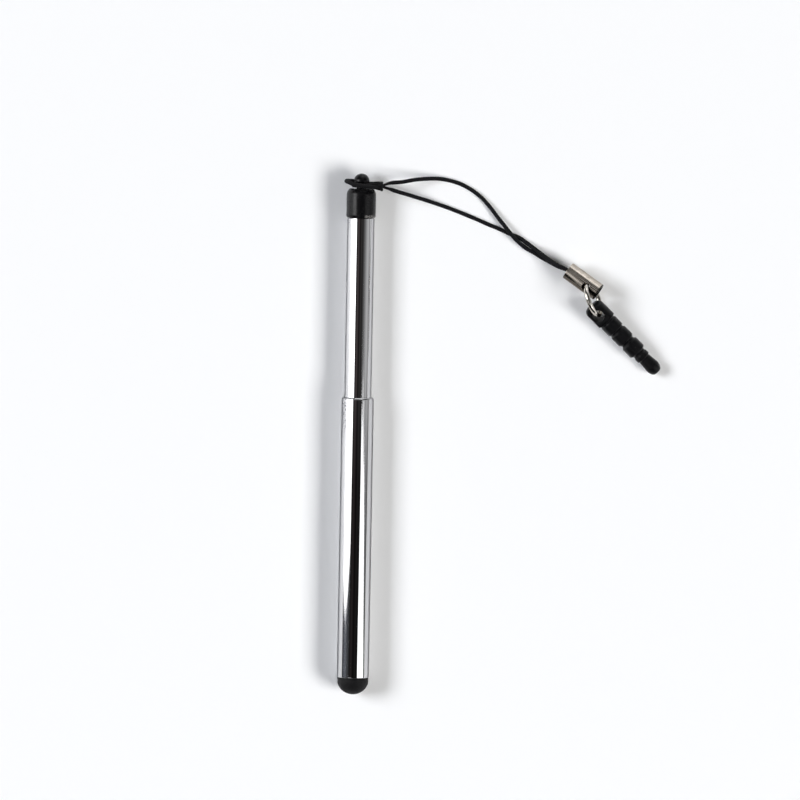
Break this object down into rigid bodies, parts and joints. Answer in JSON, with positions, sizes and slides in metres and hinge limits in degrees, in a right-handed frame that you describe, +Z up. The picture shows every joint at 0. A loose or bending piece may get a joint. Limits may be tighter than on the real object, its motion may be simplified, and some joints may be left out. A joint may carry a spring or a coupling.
{
  "type": "telescoping stylus pen with lanyard",
  "caption": "Slim telescoping touch stylus with a rubber dome tip, chromed tubes, a knobbed end cap and a cord lanyard ending in a ribbed headphone-socket dust plug.",
  "frame": {"origin": "bottom centre of the extended pen without its lanyard, on the table it lies on", "axes": "+Y along the pen from the rubber tip to the knob, +Z up from the table, +X towards the lanyard"},
  "size_m": [0.0677, 0.1106, 0.0078],
  "materials": {
    "chromed_tube": "bright chrome plate",
    "tip_rubber": "matte",
    "turned_brass": "as turned",
    "spring_steel": "rolled",
    "black_plastic": "satin to glossy",
    "black_cord": "braided",
    "nickel_plate": "satin nickel plate",
    "soft_black_plastic": "matte"
  },
  "bodies": {
    "barrel": {"outer_barrel": "chromed_tube", "rubber_tip": "tip_rubber", "tip_holder": "turned_brass"},
    "slider": {"friction_shim_left": "spring_steel", "friction_shim_right": "spring_steel"},
    "inner_stage": {"inner_tube": "chromed_tube", "stop_spool": "turned_brass", "end_cap": "black_plastic"},
    "lanyard": {"lanyard_cord": "black_cord", "cord_crimp": "turned_brass", "cord_ferrule": "nickel_plate"},
    "ring": {"jump_ring": "nickel_plate"},
    "plug": {"dust_plug": "soft_black_plastic"}
  },
  "joints": [
    {"name": "telescope_slide", "type": "slide", "parent": "barrel", "child": "slider", "axis": [0, 1, 0], "range_m": [-0.03795, 0]},
    {"name": "telescope_spin", "type": "hinge", "parent": "slider", "child": "inner_stage", "pos_m": [0, 0, 0.00338], "axis": [0, 1, 0], "continuous": true},
    {"name": "lanyard_swivel", "type": "hinge", "parent": "inner_stage", "child": "lanyard", "pos_m": [0, 0.05273, 0.00338], "axis": [0, 1, 0], "continuous": true},
    {"name": "ring_swing", "type": "hinge", "parent": "lanyard", "child": "ring", "pos_m": [0.04838, 0.03254, 0.00408], "axis": [-0.2666, -0.1509, 0.9519], "range_deg": [-64, 136]},
    {"name": "plug_swing", "type": "hinge", "parent": "ring", "child": "plug", "pos_m": [0.05091, 0.0265, 0.00312], "axis": [-0.1936, -0.3261, 0.9253], "range_deg": [-100, 55]}
  ]
}
